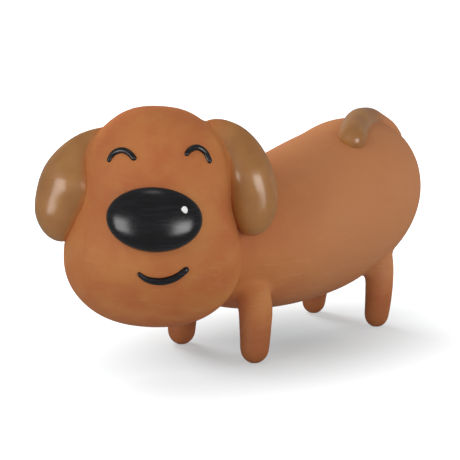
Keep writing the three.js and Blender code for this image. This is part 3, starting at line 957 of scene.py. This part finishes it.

# %% [markdown]
# ## The limbs' pieces
#
# Each limb's piece has its place baked into its points. The ears' bend points are found from their pivots, but
# no piece is bent here.

# %% Bake each limb's place
for name, (piece, start, end) in leg_pieces.items():
    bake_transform(piece)
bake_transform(head_piece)
EAR_BEND_ABOVE, EAR_BEND_BELOW = 4, 20
for name, piece in ear_pieces.items():
    side = 1 if name.endswith("left") else -1
    pivot = HEAD @ Vector((side * head_side(EAR_PIVOT_HEIGHT), 0, EAR_PIVOT_HEIGHT))
    start, end = pivot + Vector((0, 0, EAR_BEND_ABOVE)), pivot - Vector((0, 0, EAR_BEND_BELOW))
    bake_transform(piece)
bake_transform(tail_piece)

# %% [markdown]
# ## The studio
#
# The toy was shot as a packshot on a white light table: the table glows, so it is lost in white all round and
# only a soft grey shadow is left under the toy. A plain white floor needs so much lamp light for this that the
# toy burns out. Here the floor glows by itself, less and less towards the toy, so the grey under the toy is a
# painted shadow.

# %% The light table
TABLE_SIZE = 20000
FLOOR_GLOW = 1.08
# The painted shadow in the floor's glow: where it centres, how squashed it is, where its edge rises and how
# grey it is.
PAINTED_SHADOW_BEHIND, PAINTED_SHADOW_SQUASH = 0.01, 2.5
PAINTED_SHADOW_EDGE = (-0.01, 0.19)
PAINTED_SHADOW_GLOW = (0.2, 0.208, 0.211)


def level_plane(name, height, material):
    """A square of the stage, at a height in millimetres."""
    form = bmesh.new()
    bmesh.ops.create_grid(form, x_segments=1, y_segments=1, size=TABLE_SIZE)
    bmesh.ops.translate(form, vec=(0, 0, height), verts=form.verts)
    bmesh.ops.transform(form, matrix=TO_ROW, verts=form.verts)
    mesh = bpy.data.meshes.new(name)
    form.to_mesh(mesh)
    form.free()
    mesh.materials.append(material)
    plane = bpy.data.objects.new(name, mesh)
    bpy.context.scene.collection.objects.link(plane)
    return plane


table = Finish("light_table_painted_shadow", Base_Color=(0.34, 0.36, 0.368, 1), Roughness=0.9, Specular_IOR_Level=0.0)
east, north = table.place.axis("X"), table.place.axis("Y") - PAINTED_SHADOW_BEHIND
from_toy = (PAINTED_SHADOW_SQUASH * east * east + north * north) ** 0.5
# Painted shadow: the floor's glow is dim grey under the toy and rises to full white away from it.
glow = from_toy.rise(*PAINTED_SHADOW_EDGE)
table.feed("Emission Color", glow.blend((*PAINTED_SHADOW_GLOW, 1), (1, 1, 1, 1)))
table.shader.inputs["Emission Strength"].default_value = FLOOR_GLOW
floor = level_plane("floor", 0, table.material)
floor.visible_diffuse = floor.visible_glossy = False

# %% [markdown]
# The glow is there for the camera alone. What lights the toy from below is a second sheet just under the
# table, pale and without any glow, which the camera never sees. It lies in the toy's shadow as a real
# table does, so the belly and the insides of the legs stay dark. The white room round the table lights the
# toy softly from everywhere. It shows fully white itself, and only faintly in the glossy paint.

# %% The sheet that throws light back
card = Finish("bounce_card", Base_Color=(0.52, 0.54, 0.55, 1), Roughness=0.9, Specular_IOR_Level=0.0)
bounce = level_plane("bounce_card", -1, card.material)
bounce.visible_camera = bounce.visible_glossy = False
floor.visible_shadow = False

ROOM_LIGHT, MORE_SEEN, LESS_MIRRORED = 0.42, 0.66, 0.2
world = bpy.data.worlds.new("studio")
world.use_nodes = True
surroundings = world.node_tree.nodes["Background"]
surroundings.inputs["Color"].default_value = (1, 1, 1, 1)
ray = world.node_tree.nodes.new("ShaderNodeLightPath")
seen = Wire(world.node_tree, ray.outputs["Is Camera Ray"])
mirrored = Wire(world.node_tree, ray.outputs["Is Glossy Ray"])
strength = ROOM_LIGHT + MORE_SEEN * seen - LESS_MIRRORED * mirrored
world.node_tree.links.new(strength.socket, surroundings.inputs["Strength"])
bpy.context.scene.world = world
bpy.context.scene.view_settings.view_transform = "Standard"

# %% The camera
# It stands at the dog's front left, a little above it.
AZIMUTH, ELEVATION = math.radians(44.46), math.radians(10.13)
DISTANCE, SHIFT_RIGHT, SHIFT_UP = 631.5, -24.6, 47.15
LENS = 109.565


def away_from_toy(azimuth, elevation):
    """The direction from the toy to a place at an azimuth and an elevation."""
    level = math.cos(elevation)
    return Vector((math.sin(azimuth) * level, -math.cos(azimuth) * level, math.sin(elevation)))


back = away_from_toy(AZIMUTH, ELEVATION)
right = Vector((math.cos(AZIMUTH), math.sin(AZIMUTH), 0))
up = back.cross(right)
eye = back * DISTANCE + right * SHIFT_RIGHT + up * SHIFT_UP
camera_data = bpy.data.cameras.new("camera")
camera_data.lens = LENS
camera_data.sensor_width = 36
camera_data.clip_start = 0.01
camera_data.clip_end = 50
camera = bpy.data.objects.new("camera", camera_data)
camera.matrix_world = Matrix.Translation(at(eye)) @ Matrix((right, up, back)).transposed().to_4x4()
bpy.context.scene.collection.objects.link(camera)
bpy.context.scene.camera = camera


# %% [markdown]
# The softboxes shape the toy with their light alone, and would show as grey sheens on the gloss. What does
# show are three cores, which light nothing: two low ones, so that each gloss carries two crisp lights as in
# the photo, and a small one overhead, for the light at the top of the nose.

# %% The lights
LIGHT_DISTANCE = 1100
LIT_POINT = Vector((0, -30, 50))
# Turned from the camera to the camera's right, and raised, in degrees; width and height, in millimetres;
# power, in watts.
LIGHTS = {
    "left_core": (-43, 0, 560, 600, 5.2),
    "right_core": (37, -1, 560, 500, 5.4),
    "overhead_core": (-5, 82, 220, 120, 0.25),
    "left_softbox": (-42, 25, 500, 500, 2.3),
    "far_left_softbox": (-75, 32, 500, 500, 1.5),
    "front_softbox": (0, 2, 500, 500, 2.3),
    "right_softbox": (45, 4, 500, 500, 3.5),
    "far_right_softbox": (110, 4, 500, 500, 3.4),
    "back_left_softbox": (-150, 30, 500, 500, 11.5),
}
for name, (turned_right, raised, wide, tall, power) in LIGHTS.items():
    data = bpy.data.lights.new(name, "AREA")
    data.shape = "RECTANGLE"
    data.size, data.size_y = wide / 1000, tall / 1000
    data.energy = power
    light = bpy.data.objects.new(name, data)
    away = away_from_toy(AZIMUTH + math.radians(turned_right), math.radians(raised))
    place = Matrix.Translation(at(LIT_POINT + away * LIGHT_DISTANCE))
    light.matrix_world = place @ away.to_track_quat("Z", "Y").to_matrix().to_4x4()
    light.visible_camera = False
    light.visible_glossy = name.endswith("core")
    light.visible_diffuse = not light.visible_glossy
    bpy.context.scene.collection.objects.link(light)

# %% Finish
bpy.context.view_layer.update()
